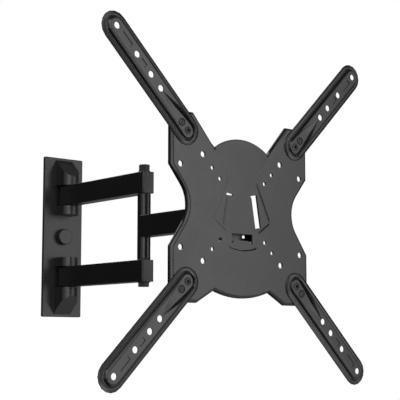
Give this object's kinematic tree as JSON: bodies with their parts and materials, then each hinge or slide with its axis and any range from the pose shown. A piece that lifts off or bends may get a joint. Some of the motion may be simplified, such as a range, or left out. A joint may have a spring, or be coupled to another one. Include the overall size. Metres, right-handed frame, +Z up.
{
  "type": "full motion tv wall mount",
  "caption": "Wall bracket with a two-stage swinging arm, a tilting head and a screen plate with fold-out extension arms for a flat screen.",
  "frame": {"origin": "centre of the wall bracket's back face", "axes": "+X right when facing the wall, +Y into the wall, +Z up; the screen faces -Y"},
  "size_m": [0.437, 0.4136, 0.437],
  "materials": {
    "powder_steel": "satin black powder coat",
    "cover_plastic": "fine-grained black moulding",
    "black_fastener": "black zinc plated steel",
    "zinc_steel": "plain zinc plated steel",
    "nylon": "black nylon"
  },
  "bodies": {
    "wall": {"wall_bracket": "powder_steel", "wall_cover": "cover_plastic", "centre_cap": "cover_plastic", "hinge_bolt_upper": "black_fastener", "hinge_bolt_lower": "black_fastener", "hinge_nut_upper": "black_fastener", "hinge_nut_lower": "black_fastener", "hinge_washer_upper_inner": "nylon", "hinge_washer_upper_outer": "nylon", "hinge_washer_lower_inner": "nylon", "hinge_washer_lower_outer": "nylon"},
    "rear_arms": {"rear_arm_upper": "powder_steel", "rear_arm_lower": "powder_steel", "rear_arm_upper_wall_cap": "cover_plastic", "rear_arm_upper_front_cap": "cover_plastic", "rear_arm_lower_wall_cap": "cover_plastic", "rear_arm_lower_front_cap": "cover_plastic", "hinge_bush_upper": "nylon", "hinge_bush_lower": "nylon", "elbow_spacer_upper": "zinc_steel", "elbow_spacer_lower": "zinc_steel", "elbow_bolt": "black_fastener", "elbow_nut": "black_fastener", "elbow_washer_top": "black_fastener", "elbow_washer_bottom": "black_fastener"},
    "forearm": {"elbow_sleeve": "powder_steel", "elbow_bush_top": "nylon", "elbow_bush_bottom": "nylon", "forearm_tube": "powder_steel", "forearm_cap": "cover_plastic", "swivel_bush": "nylon"},
    "head": {"swivel_yoke": "powder_steel", "swivel_bolt": "black_fastener", "swivel_nut": "black_fastener", "swivel_washer_top": "nylon", "swivel_washer_bottom": "nylon", "tilt_spacer": "zinc_steel"},
    "screen_plate": {"vesa_plate": "powder_steel", "tilt_bracket": "powder_steel", "tilt_bolt": "black_fastener", "tilt_nut": "black_fastener", "tilt_washer_right": "nylon", "tilt_washer_left": "nylon", "pivot_rivet_upper_left": "black_fastener", "pivot_rivet_upper_right": "black_fastener", "pivot_rivet_lower_left": "black_fastener", "pivot_rivet_lower_right": "black_fastener"},
    "extension_upper_left": {"extension_arm_upper_left": "powder_steel", "lock_screw_upper_left": "black_fastener", "lock_nut_upper_left": "black_fastener"},
    "extension_upper_right": {"extension_arm_upper_right": "powder_steel", "lock_screw_upper_right": "black_fastener", "lock_nut_upper_right": "black_fastener"},
    "extension_lower_left": {"extension_arm_lower_left": "powder_steel", "lock_screw_lower_left": "black_fastener", "lock_nut_lower_left": "black_fastener"},
    "extension_lower_right": {"extension_arm_lower_right": "powder_steel", "lock_screw_lower_right": "black_fastener", "lock_nut_lower_right": "black_fastener"}
  },
  "joints": [
    {"name": "wall_swing", "type": "hinge", "parent": "wall", "child": "rear_arms", "pos_m": [0, -0.0185, 0], "axis": [0, 0, 1], "range_deg": [-90, 90]},
    {"name": "elbow", "type": "hinge", "parent": "rear_arms", "child": "forearm", "pos_m": [0, -0.2055, 0], "axis": [0, 0, -1], "range_deg": [-135, 135]},
    {"name": "head_swivel", "type": "hinge", "parent": "forearm", "child": "head", "pos_m": [0, -0.3605, 0], "axis": [0, 0, 1], "range_deg": [-90, 90]},
    {"name": "tilt", "type": "hinge", "parent": "head", "child": "screen_plate", "pos_m": [0, -0.389, 0], "axis": [1, 0, 0], "range_deg": [-5, 15]},
    {"name": "extension_upper_left_turn", "type": "hinge", "parent": "screen_plate", "child": "extension_upper_left", "pos_m": [-0.1, -0.4076, 0.1035], "axis": [0, -1, 0], "range_deg": [0, 45]},
    {"name": "extension_upper_right_turn", "type": "hinge", "parent": "screen_plate", "child": "extension_upper_right", "pos_m": [0.1, -0.4076, 0.1035], "axis": [0, 1, 0], "range_deg": [0, 45]},
    {"name": "extension_lower_left_turn", "type": "hinge", "parent": "screen_plate", "child": "extension_lower_left", "pos_m": [-0.1, -0.4076, -0.0965], "axis": [0, 1, 0], "range_deg": [0, 45]},
    {"name": "extension_lower_right_turn", "type": "hinge", "parent": "screen_plate", "child": "extension_lower_right", "pos_m": [0.1, -0.4076, -0.0965], "axis": [0, -1, 0], "range_deg": [0, 45]}
  ]
}
